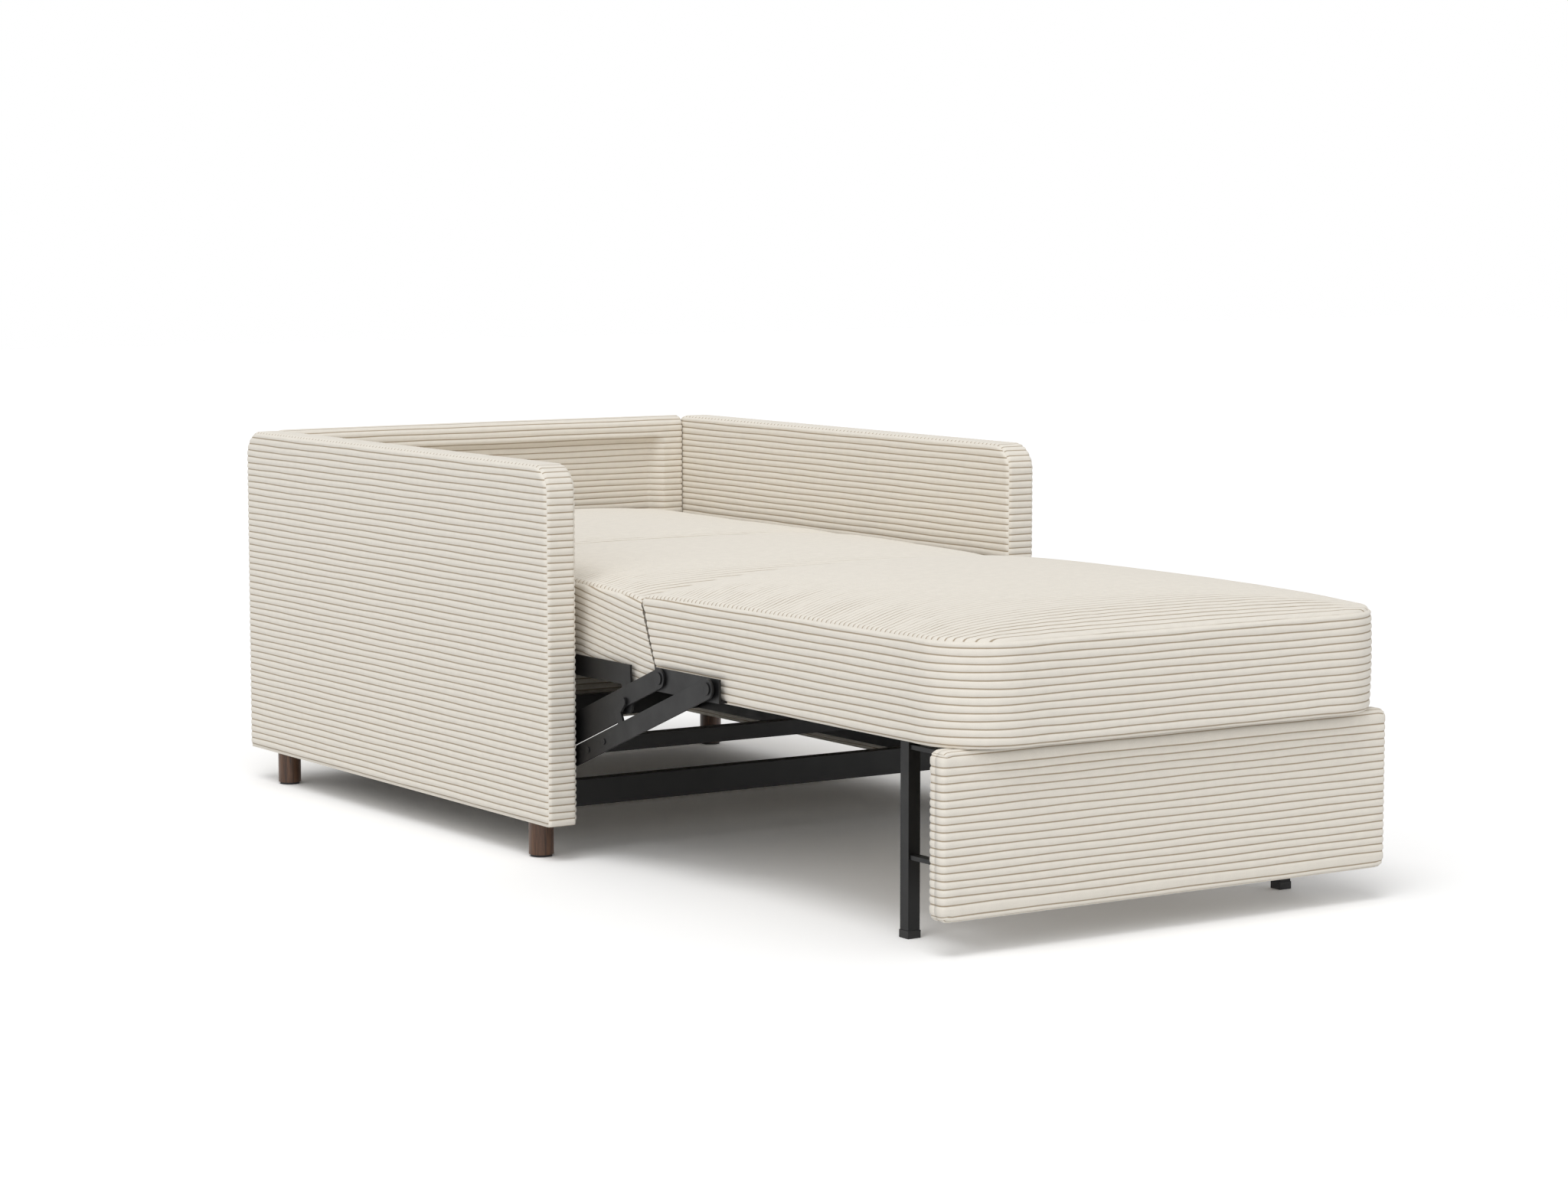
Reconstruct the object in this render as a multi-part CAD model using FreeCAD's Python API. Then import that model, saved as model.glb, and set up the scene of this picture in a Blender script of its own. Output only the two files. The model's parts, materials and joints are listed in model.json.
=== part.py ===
"""Convertible chair bed, shown open as a bed.

X runs across the chair, -Y is the foot of the bed, Z is up. Millimetres.
The origin is on the floor, under the middle of the whole bed.
"""
import FreeCAD, Part
import math
import os

Vector = FreeCAD.Vector

# Driving dimensions of the whole object
overall_width = 1000.0
overall_depth = 2157.0
arm_height = 657.0
arm_depth = 1120.0
arm_thickness = 58.0
arm_clearance = 61.0
back_thickness = 42.0

# Upholstered arms and back
arm_corner_radius = 46.0
cover_edge_radius = 9.0
board_thickness = 24.0
board_margin = 20.0
back_board_thickness = 8.0
recess_depth = 26.0
recess_side_margin = 55.0
recess_top = 616.0
recess_bottom = 340.0

# Wooden legs under the arms
leg_radius = 21.0
glide_radius = 18.0
glide_height = 4.0
leg_bolt_radius = 4.0
leg_bolt_start = 20.0
leg_bolt_grip = 48.8
leg_side_inset = 33.0
leg_front_inset = 80.0
leg_rear_inset = 100.0
bolt_clearance = 0.2

# Sleeping surface: three upholstered sections
mattress_half_width = 420.0
section_bottom = 311.0
section_edge_top = 459.0
crown_across = 17.0
crown_along = 6.0
side_pull_in = 6.0
seat_corner_radius = 105.0
mattress_back_gap = 6.0
head_end_chamfer = 18.0
seat_overhang = 36.0
joint_slant = 0.31

# Fold lines, measured back from the front of the arms
front_fold_y = -172.0
front_fold_z = 420.0
head_pivot_y = 1020.0
ridge_fold_z = 306.0
seat_travel = 870.0

# Steel frame inside each section
tube = 20.0
frame_half_width = 398.0
frame_bottom = 312.0
frame_front_inset = 73.5
seat_tube_gap = 30.0
middle_tube_gap = 32.0
slat_thickness = 8.0
slat_width = 55.0
slat_pitch = 105.0

# Fold hinges inside the sections
rod_radius = 4.0
running_clearance = 0.06
rod_groove_radius = 10.0
ridge_groove_radius = 12.0
hinge_arm_half_width = 8.0
hinge_plate = 5.0
hinge_arm_x = 300.0
hinge_gap = 2.0
hinge_rod_half_length = 312.0

# Swing links on each side
link_plate = 4.0
link_half_width = 16.0
link_plane_gap = 0.6
arm_face_gap = 0.4
base_plate_thickness = 3.0
plate_above_pivot = 20.0
link_b_top = (-388.0, 329.0)
link_spacing = 150.0
link_rise = 168.0
link_a_web_depth = 18.0
link_a_web_start = 118.0
link_a_web_end = 322.0
link_a_web_overrun = 5.0
link_a_web_cut = 8.0
bracket_depth = 34.0
bracket_flange_thickness = 3.4
bracket_front_end = 22.0
bracket_rear_end = 18.0
bracket_rise = 4.0
bracket_frame_gap = 0.5
pin_radius = 6.0
pin_head_radius = 10.0
pin_head_height = 2.0
cross_tube = 25.0
cross_tube_wall = 2.0
cross_tube_y = -60.0
link_rivet_radius = 5.0
link_rivet_height = 1.6
link_b_rivet_spots = (78.0, 132.0)
catch_foot = (195.0, 6.0)
catch_bend = (192.0, 34.0)
catch_tip = (214.0, 46.0)
catch_half_width = 8.0
catch_tip_half_width = 6.5
mechanism_plate_front = 34.0
mechanism_plate_rear = 40.0

# Middle section side rail with its short hanger
hanger_y = -128.0
hanger_drop = 66.0
hanger_lead = 16.0
hanger_half_width = 14.0
hanger_foot_y = 8.0
rail_below_section = 4.0

# Head pivot, a plate on the bed and a bracket on the arm
pivot_arm_reach = 60.0
pivot_arm_rise = 6.0
pivot_arm_half_width = 18.0
pivot_web_gap = 50.0
pivot_flange_gap = 10.0
pivot_bracket_front = 32.0
pivot_bracket_rear = 26.0
pivot_bracket_drop = 60.0
pivot_bracket_rise = 32.0

# Fixed steel frame between the arms
rail_height = 44.0
rail_depth = 25.0
rail_bottom = 80.0
front_rail_y = 62.0
rear_rail_y = 985.0

# Steel legs and front panel at the foot
steel_leg = 21.0
steel_leg_x = 362.0
steel_leg_y = -830.0
leg_cap_height = 12.0
leg_cap_margin = 1.0
front_panel_bottom = 54.0
front_panel_top = 303.0
front_panel_thickness = 38.0
front_panel_half_width = 426.0
front_panel_corner = 10.0
front_panel_board = 12.0
strut_height = 7.0
strut_half_width = 8.0
strut_low_z = 119.0
strut_high_z = 284.0

# Extra reach of a cutting tool, and the size that counts as nothing
cut_through = 1.0
tiny = 1e-6

# Places worked out from the driving dimensions
half_depth = overall_depth / 2
half_width = overall_width / 2
arm_front = half_depth - arm_depth
arm_inner = half_width - arm_thickness
back_front = half_depth - back_thickness
fold_y = arm_front + front_fold_y
pivot_y = arm_front + head_pivot_y
ridge_y = (fold_y + pivot_y) / 2
mattress_rear = back_front - mattress_back_gap
mattress_front = -half_depth
panel_front = mattress_front + seat_overhang
frame_top = frame_bottom + tube
slat_top = frame_top + slat_thickness
link_length = math.hypot(seat_travel / 2, link_rise)

crown_top = section_edge_top + crown_across
top_rise = crown_top - front_fold_z
joint_bottom_y = fold_y - joint_slant * (front_fold_z - section_bottom)
arm_near = hinge_arm_x - hinge_plate
arm_far = hinge_arm_x + hinge_plate
inner_arm_far = arm_near - 1
inner_arm_near = inner_arm_far - 2 * hinge_plate
seat_rear_tube_y = joint_bottom_y - seat_tube_gap
middle_front_tube_y = joint_bottom_y + middle_tube_gap

# Planes across the gap between mattress and arm, from the arm inwards
plate_outer = arm_inner - arm_face_gap
plate_inner = plate_outer - base_plate_thickness
link_b_outer = plate_inner - link_plane_gap
link_b_inner = link_b_outer - link_plate
link_a_outer = link_b_inner - link_plane_gap
link_a_inner = link_a_outer - link_plate
rail_outer = link_a_inner - link_plane_gap
rail_inner = rail_outer - link_plate

# Pivots of the swing links, as (y, z)
pivot_b_top = (arm_front + link_b_top[0], link_b_top[1])
pivot_a_top = (pivot_b_top[0] + link_spacing, pivot_b_top[1])
pivot_b_base = (pivot_b_top[0] + seat_travel / 2, pivot_b_top[1] - link_rise)
pivot_a_base = (pivot_b_base[0] + link_spacing, pivot_b_base[1])


def box(x0, x1, y0, y1, z0, z1):
    return Part.makeBox(x1 - x0, y1 - y0, z1 - z0, Vector(x0, y0, z0))


def pin_x(x0, x1, place, radius):
    """Round bar along X at place, which is (y, z)."""
    start = Vector(min(x0, x1), place[0], place[1])
    return Part.makeCylinder(radius, abs(x1 - x0), start, Vector(1, 0, 0))


def pin_z(x, y, z0, z1, radius):
    return Part.makeCylinder(radius, z1 - z0, Vector(x, y, z0))


def mirrored(shape):
    return shape.mirror(Vector(0, 0, 0), Vector(1, 0, 0))


def group(shapes):
    return Part.makeCompound(shapes)


def both_sides(shape):
    return group([shape, mirrored(shape)])


def profile_along_x(points, x0, x1):
    """Closed outline in the YZ plane, drawn from x0 to x1."""
    loop = [Vector(x0, y, z) for y, z in points]
    face = Part.Face(Part.makePolygon(loop + loop[:1]))
    return face.extrude(Vector(x1 - x0, 0, 0))


def arc(start, middle, end):
    return Part.Arc(start, middle, end).toShape()


def line(start, end):
    return Part.LineSegment(start, end).toShape()


def bar(x0, x1, a, b, half_width):
    """Flat link with round ends, from a to b in the YZ plane."""
    dy = b[0] - a[0]
    dz = b[1] - a[1]
    length = math.hypot(dy, dz)
    body = box(min(x0, x1), max(x0, x1), 0, length, -half_width, half_width)
    body.rotate(Vector(0, 0, 0), Vector(1, 0, 0), math.degrees(math.atan2(dz, dy)))
    body.translate(Vector(0, a[0], a[1]))
    ends = [pin_x(x0, x1, a, half_width), pin_x(x0, x1, b, half_width)]
    return body.fuse(ends).removeSplitter()


def rounded(shape, chosen, radius):
    edges = [e for e in shape.Edges if chosen(e)]
    return shape.makeFillet(radius, edges)


def runs_along(edge, direction):
    ends = [v.Point for v in edge.Vertexes]
    if len(ends) < 2:
        return False
    span = ends[1] - ends[0]
    return span.cross(direction).Length < tiny


def arm_shapes():
    """Cover and inner board of the arm on the -X side."""
    x0, x1 = -half_width, -arm_inner
    y0, y1 = arm_front, half_depth
    cover = box(x0, x1, y0, y1, arm_clearance, arm_height)
    across = Vector(1, 0, 0)
    top_corners = lambda e: runs_along(e, across) and e.BoundBox.ZMin > arm_height - 1
    cover = rounded(cover, top_corners, arm_corner_radius)
    outline = lambda e: e.BoundBox.XLength < tiny and e.BoundBox.ZMax > arm_clearance + 1
    cover = rounded(cover, outline, cover_edge_radius)
    middle = -half_width + leg_side_inset
    board = box(
        middle - board_thickness / 2,
        middle + board_thickness / 2,
        y0 + board_margin,
        y1 - board_margin,
        arm_clearance,
        arm_height - board_margin,
    )
    corner = lambda e: runs_along(e, across) and e.BoundBox.ZMin > arm_height - board_margin - 1
    board = rounded(board, corner, arm_corner_radius - board_margin)
    cover = cover.cut(board)
    for y in leg_places():
        board = board.cut(pin_z(middle, y, 0, 2 * arm_clearance, leg_bolt_radius + bolt_clearance))
    return cover, board


def leg_places():
    return (arm_front + leg_front_inset, half_depth - leg_rear_inset)


def back_shapes():
    """Cover with the cushion recess, and the board inside it."""
    cover = box(-arm_inner, arm_inner, back_front, half_depth, arm_clearance, arm_height)
    across = Vector(1, 0, 0)
    top_edges = lambda e: runs_along(e, across) and e.BoundBox.ZMin > arm_height - 1
    cover = rounded(cover, top_edges, cover_edge_radius * 2)
    side = arm_inner - recess_side_margin
    recess = box(-side, side, back_front - 1, back_front + recess_depth, recess_bottom, recess_top)
    cover = cover.cut(recess)
    board_y = half_depth - (back_thickness - recess_depth + back_board_thickness) / 2
    board = box(
        -arm_inner + board_margin,
        arm_inner - board_margin,
        board_y,
        board_y + back_board_thickness,
        arm_clearance,
        arm_height - board_margin * 2,
    )
    return cover.cut(board), board


def wooden_leg(x, y):
    leg = pin_z(x, y, glide_height, arm_clearance, leg_radius)
    hole = pin_z(x, y, leg_bolt_start, arm_clearance + cut_through, leg_bolt_radius + bolt_clearance)
    return leg.cut(hole)


def crowned_block(y0, y1, side_profile):
    """Cushion with a crown both ways and sides that pull in between the ends."""
    w = mattress_half_width
    deep = section_edge_top + crown_across + crown_along
    across = [
        line(Vector(-w, y0, section_bottom), Vector(w, y0, section_bottom)),
        line(Vector(w, y0, section_bottom), Vector(w, y0, section_edge_top)),
        arc(
            Vector(w, y0, section_edge_top),
            Vector(0, y0, section_edge_top + crown_across + crown_along),
            Vector(-w, y0, section_edge_top),
        ),
        line(Vector(-w, y0, section_edge_top), Vector(-w, y0, section_bottom)),
    ]
    crowned = Part.Face(Part.Wire(across)).extrude(Vector(0, y1 - y0, 0))
    middle = (y0 + y1) / 2
    pulled = w - side_pull_in
    plan = [
        line(Vector(-w, y0, 0), Vector(w, y0, 0)),
        arc(Vector(w, y0, 0), Vector(pulled, middle, 0), Vector(w, y1, 0)),
        line(Vector(w, y1, 0), Vector(-w, y1, 0)),
        arc(Vector(-w, y1, 0), Vector(-pulled, middle, 0), Vector(-w, y0, 0)),
    ]
    footprint = Part.Face(Part.Wire(plan)).extrude(Vector(0, 0, deep))
    return crowned.common(footprint).common(side_profile)


def crowned_side(bottom_front, fold_front, top_front, top_rear, fold_rear, bottom_rear):
    """Side outline of a section, (y, z) corners, with an arc along its top."""
    w = mattress_half_width + 1
    points = [p for p in (top_rear, fold_rear, bottom_rear, bottom_front, fold_front, top_front) if p]
    loop = [Vector(-w, y, z) for y, z in points]
    edges = [line(a, b) for a, b in zip(loop, loop[1:])]
    middle_y = (top_front[0] + top_rear[0]) / 2
    middle = Vector(-w, middle_y, max(top_front[1], top_rear[1]) + crown_along)
    edges.append(arc(loop[-1], middle, loop[0]))
    return Part.Face(Part.Wire(edges)).extrude(Vector(2 * w, 0, 0))


def hinge_slots(y0, y1):
    """Slots for both pairs of fold arms, between y0 and y1."""
    top = front_fold_z + 2 * rod_groove_radius
    slot = box(inner_arm_near - 1, arm_far + 1, y0, y1, section_bottom - 1, top)
    return [slot, mirrored(slot)]


def groove_along(place, radius):
    """Groove across the whole width, round a fold rod."""
    return pin_x(-mattress_half_width - 1, mattress_half_width + 1, place, radius)


def seat_mattress():
    side = crowned_side(
        (mattress_front, section_bottom),
        None,
        (mattress_front, section_edge_top),
        (fold_y - top_rise, crown_top),
        (fold_y - hinge_gap / 2, front_fold_z),
        (joint_bottom_y - hinge_gap / 2, section_bottom),
    )
    block = crowned_block(mattress_front, fold_y, side)
    upright = Vector(0, 0, 1)
    corner = lambda e: runs_along(e, upright) and e.BoundBox.YMax < mattress_front + 1
    block = rounded(block, corner, seat_corner_radius)
    groove = groove_along((fold_y, front_fold_z), rod_groove_radius)
    return block.cut([groove] + hinge_slots(seat_rear_tube_y - tube / 2, fold_y))


def middle_mattress():
    side = crowned_side(
        (joint_bottom_y + hinge_gap / 2, section_bottom),
        (fold_y + hinge_gap / 2, front_fold_z),
        (fold_y + top_rise, crown_top),
        (ridge_y - hinge_gap / 2, crown_top),
        None,
        (ridge_y - hinge_gap / 2, section_bottom),
    )
    block = crowned_block(joint_bottom_y, ridge_y, side)
    grooves = [
        groove_along((fold_y, front_fold_z), rod_groove_radius),
        groove_along((ridge_y, ridge_fold_z), ridge_groove_radius),
    ]
    return block.cut(grooves + hinge_slots(joint_bottom_y, fold_y + 2 * rod_groove_radius))


def head_mattress():
    side = crowned_side(
        (ridge_y + hinge_gap / 2, section_bottom),
        None,
        (ridge_y + hinge_gap / 2, crown_top),
        (mattress_rear - head_end_chamfer, section_edge_top),
        (mattress_rear, section_edge_top - head_end_chamfer),
        (mattress_rear, section_bottom),
    )
    block = crowned_block(ridge_y, mattress_rear, side)
    return block.cut(groove_along((ridge_y, ridge_fold_z), ridge_groove_radius))


def side_rail(y0, y1):
    x = -frame_half_width
    return box(x - tube / 2, x + tube / 2, y0, y1, frame_bottom, frame_top)


def cross_tube_box(y):
    x = frame_half_width - tube / 2
    return box(-x, x, y - tube / 2, y + tube / 2, frame_bottom, frame_top)


def cross_tubes(places):
    return group([cross_tube_box(y) for y in places])


def slats(y0, y1):
    """Even row of wooden slats lying on the side rails."""
    count = int((y1 - y0 - slat_width) // slat_pitch) + 1
    first = (y0 + y1) / 2 - (count - 1) * slat_pitch / 2
    x = frame_half_width + tube / 2
    rows = []
    for i in range(count):
        y = first + i * slat_pitch
        rows.append(box(-x, x, y - slat_width / 2, y + slat_width / 2, frame_top, slat_top))
    return group(rows)


def fold_rod(place):
    return pin_x(-hinge_rod_half_length, hinge_rod_half_length, place, rod_radius)


def front_fold_arms(x0, x1, tube_y, rod_hole):
    """Pair of arms that rise from a cross tube to the rod of the front fold."""
    place = (fold_y, front_fold_z)
    arm = bar(x0, x1, (tube_y, frame_top - tube / 2), place, hinge_arm_half_width)
    arm = arm.cut([pin_x(x0 - 1, x1 + 1, place, rod_hole), cross_tube_box(tube_y)])
    return both_sides(arm)


def ridge_lugs(x0, x1, toward, rod_hole):
    """Pair of lugs that hang from a cross tube down to the rod of the ridge fold."""
    place = (ridge_y, ridge_fold_z)
    tube_y = ridge_y + toward * tube
    outline = [
        (ridge_y, ridge_fold_z - hinge_arm_half_width),
        (tube_y + toward * tube / 2, frame_bottom),
        (tube_y - toward * tube / 2, frame_bottom),
    ]
    lug = profile_along_x(outline, x0, x1).fuse(pin_x(x0, x1, place, hinge_arm_half_width))
    lug = lug.removeSplitter()
    lug = lug.cut([pin_x(x0 - 1, x1 + 1, place, rod_hole), cross_tube_box(tube_y)])
    return both_sides(lug)


def link_bracket():
    """Plate that takes the tops of both links, bolted under the seat frame."""
    y0 = pivot_b_top[0] - bracket_front_end
    y1 = pivot_a_top[0] + bracket_rear_end
    low = section_bottom - bracket_frame_gap - bracket_flange_thickness
    web = box(-rail_outer, -rail_inner, y0, y1, low, low + bracket_depth + bracket_rise)
    flange = box(
        -rail_inner, -frame_half_width + tube / 2, y0, y1, low, low + bracket_flange_thickness
    )
    plate = web.fuse(flange).removeSplitter()
    for place in (pivot_a_top, pivot_b_top):
        plate = plate.cut(pin_x(-rail_outer - 1, -rail_inner + 1, place, pin_radius))
    return plate


def bracket_spacer():
    """Packing between the bracket flange and the seat frame rail."""
    y0 = pivot_b_top[0]
    y1 = pivot_a_top[0]
    low = section_bottom - bracket_frame_gap
    return box(-frame_half_width - tube / 2, -frame_half_width + tube / 2, y0, y1, low, frame_bottom)


def middle_rail():
    """Side bar of the middle section with the hanger at its front end."""
    y0 = arm_front + hanger_y - hanger_lead
    low = section_bottom - rail_below_section
    web = box(-rail_outer, -rail_inner, y0, ridge_y - tube, low, low + bracket_depth)
    hanger = bar(
        -rail_outer,
        -rail_inner,
        (y0 + hanger_half_width, low + bracket_depth - hanger_half_width),
        (y0 + hanger_foot_y, low + bracket_depth - hanger_drop),
        hanger_half_width,
    )
    flange = box(
        -rail_inner, -frame_half_width, y0, ridge_y - tube, low, low + bracket_flange_thickness
    )
    return web.fuse([hanger, flange]).removeSplitter()


def head_pivot_plate():
    """Plate at the head end that carries the head section on its pivot."""
    pivot = (pivot_y, front_fold_z)
    foot = (pivot_y - pivot_arm_reach, frame_bottom + pivot_arm_rise)
    upper = bar(-rail_outer, -rail_inner, pivot, foot, pivot_arm_half_width)
    low = section_bottom - rail_below_section
    web_end = pivot_y - pivot_web_gap
    web = box(-rail_outer, -rail_inner, ridge_y + tube, web_end, low, low + bracket_depth)
    flange_end = foot[0] - pivot_flange_gap
    flange = box(
        -rail_inner, -frame_half_width, ridge_y + tube, flange_end, low, low + bracket_flange_thickness
    )
    plate = upper.fuse([web, flange]).removeSplitter()
    return plate.cut(pin_x(-rail_outer - 1, -rail_inner + 1, pivot, pin_radius + running_clearance))


def head_pivot_bracket():
    """Bracket on the arm with the pin that the head section turns on."""
    y0 = pivot_y - pivot_bracket_front
    y1 = pivot_y + pivot_bracket_rear
    z0 = front_fold_z - pivot_bracket_drop
    z1 = front_fold_z + pivot_bracket_rise
    plate = box(-plate_outer, -plate_inner, y0, y1, z0, z1)
    pin = pin_x(-plate_inner, -rail_inner, (pivot_y, front_fold_z), pin_radius)
    collar = pin_x(-plate_inner, -rail_outer - link_plane_gap, (pivot_y, front_fold_z), pin_head_radius)
    return plate.fuse([pin, collar]).removeSplitter()


def link_a():
    """Upper link, with the wide web near its lower end."""
    plate = bar(-link_a_outer, -link_a_inner, pivot_a_base, pivot_a_top, link_half_width)
    low = -link_half_width - link_a_web_depth
    web = [
        (link_a_web_start - link_a_web_depth, -link_half_width),
        (link_a_web_start, low),
        (link_a_web_end, low),
        (link_a_web_end + link_a_web_overrun, -link_half_width),
        (link_a_web_end - link_a_web_cut, 0),
        (link_a_web_start, 0),
    ]
    piece = profile_along_x([(-s, t) for s, t in web], -link_a_outer, -link_a_inner)
    tilt = -math.degrees(math.atan2(link_rise, seat_travel / 2))
    piece.rotate(Vector(0, 0, 0), Vector(1, 0, 0), tilt)
    piece.translate(Vector(0, pivot_a_base[0], pivot_a_base[1]))
    plate = plate.fuse(piece).removeSplitter()
    hole = pin_x(-plate_outer, -rail_inner, pivot_a_base, pin_radius + running_clearance)
    return plate.cut(hole)


def along_link(base, distance, offset):
    """Point (y, z) on a link: distance from its base pivot, offset upwards."""
    ux = -(seat_travel / 2) / link_length
    uz = link_rise / link_length
    return (base[0] + ux * distance + uz * offset, base[1] + uz * distance - ux * offset)


def link_b():
    """Lower link with the bent catch that stands up from it."""
    plate = bar(-link_b_outer, -link_b_inner, pivot_b_base, pivot_b_top, link_half_width)
    foot = along_link(pivot_b_base, *catch_foot)
    bend = along_link(pivot_b_base, *catch_bend)
    tip = along_link(pivot_b_base, *catch_tip)
    catch = [
        bar(-link_b_outer, -link_b_inner, foot, bend, catch_half_width),
        bar(-link_b_outer, -link_b_inner, bend, tip, catch_tip_half_width),
    ]
    plate = plate.fuse(catch).removeSplitter()
    hole = pin_x(-plate_outer, -rail_inner, pivot_b_base, pin_radius + running_clearance)
    return plate.cut(hole)


def link_cross_tube():
    """Square tube that ties the two lower links together."""
    y = arm_front + cross_tube_y
    distance = (pivot_b_base[0] - y) / (seat_travel / 2) * link_length
    z = along_link(pivot_b_base, distance, 0.0)[1]
    half = cross_tube / 2
    inner = half - cross_tube_wall
    reach = link_b_inner
    outer = box(-reach, reach, y - half, y + half, z - half, z + half)
    return outer.cut(box(-reach, reach, y - inner, y + inner, z - inner, z + inner))


def head_disc(plane, place, radius, height):
    return pin_x(-plane - height, -plane, place, radius)


def link_b_rivets():
    spots = [along_link(pivot_b_base, d, 0.0) for d in link_b_rivet_spots]
    heads = [head_disc(link_b_outer, s, link_rivet_radius, link_rivet_height) for s in spots]
    heads.append(head_disc(link_b_outer, pivot_b_top, pin_head_radius, pin_head_height))
    return group(heads + [mirrored(h) for h in heads])


def link_a_rivets():
    head = head_disc(link_a_outer, pivot_a_top, pin_head_radius, pin_head_height)
    return both_sides(head)


def mechanism_plate():
    """Plate on the arm with the two base pins of the links."""
    y0 = pivot_b_base[0] - mechanism_plate_front
    y1 = pivot_a_base[0] + mechanism_plate_rear
    low = rail_bottom + rail_height
    plate = box(-plate_outer, -plate_inner, y0, y1, low, pivot_b_base[1] + plate_above_pivot)
    pin_b = pin_x(-plate_inner, -link_a_outer, pivot_b_base, pin_radius)
    pin_a = pin_x(-plate_inner, -link_a_inner, pivot_a_base, pin_radius)
    spacer = pin_x(-plate_inner, -link_a_outer - link_plane_gap / 2, pivot_a_base, pin_head_radius)
    return plate.fuse([pin_b, pin_a, spacer]).removeSplitter()


def base_side_rail():
    outer = arm_inner
    return box(
        -outer,
        -outer + rail_depth,
        arm_front + front_rail_y,
        arm_front + rear_rail_y + rail_depth,
        rail_bottom,
        rail_bottom + rail_height,
    )


def base_crossbar(y):
    x = arm_inner - rail_depth
    return box(-x, x, y, y + rail_depth, rail_bottom, rail_bottom + rail_height)


def front_panel_shapes():
    y0 = panel_front
    y1 = y0 + front_panel_thickness
    w = front_panel_half_width
    cover = box(-w, w, y0, y1, front_panel_bottom, front_panel_top)
    depth = Vector(0, 1, 0)
    cover = rounded(cover, lambda e: runs_along(e, depth), front_panel_corner)
    face = lambda e: e.BoundBox.YLength < tiny
    cover = rounded(cover, face, cover_edge_radius)
    board = box(
        -w + board_margin,
        w - board_margin,
        y1 - front_panel_board - cover_edge_radius,
        y1 - cover_edge_radius,
        front_panel_bottom + board_margin,
        front_panel_top - board_margin,
    )
    return cover.cut(board), board


def steel_leg_post():
    half = steel_leg / 2
    y = arm_front + steel_leg_y
    return box(
        -steel_leg_x - half, -steel_leg_x + half, y - half, y + half, leg_cap_height, frame_bottom
    )


def steel_leg_cap():
    half = steel_leg / 2 + leg_cap_margin
    y = arm_front + steel_leg_y
    return box(-steel_leg_x - half, -steel_leg_x + half, y - half, y + half, 0, leg_cap_height)


def panel_struts():
    """Flat struts from each steel leg to the back of the front panel."""
    front = panel_front + front_panel_thickness
    rear = arm_front + steel_leg_y - steel_leg / 2
    pieces = []
    for z in (strut_low_z, strut_high_z):
        pieces.append(
            box(
                -steel_leg_x - strut_half_width,
                -steel_leg_x + strut_half_width,
                front,
                rear,
                z,
                z + strut_height,
            )
        )
    return group(pieces + [mirrored(p) for p in pieces])


def bed_in(parts, section, others=()):
    """Sink the steel and slats of a section into the underside of its cushion."""
    name = section + "_mattress"
    own = [n for n in parts if n.startswith(section + "_") and n != name]
    tools = [parts[n] for n in own + list(others)]
    parts[name] = parts[name].cut(tools)


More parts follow.
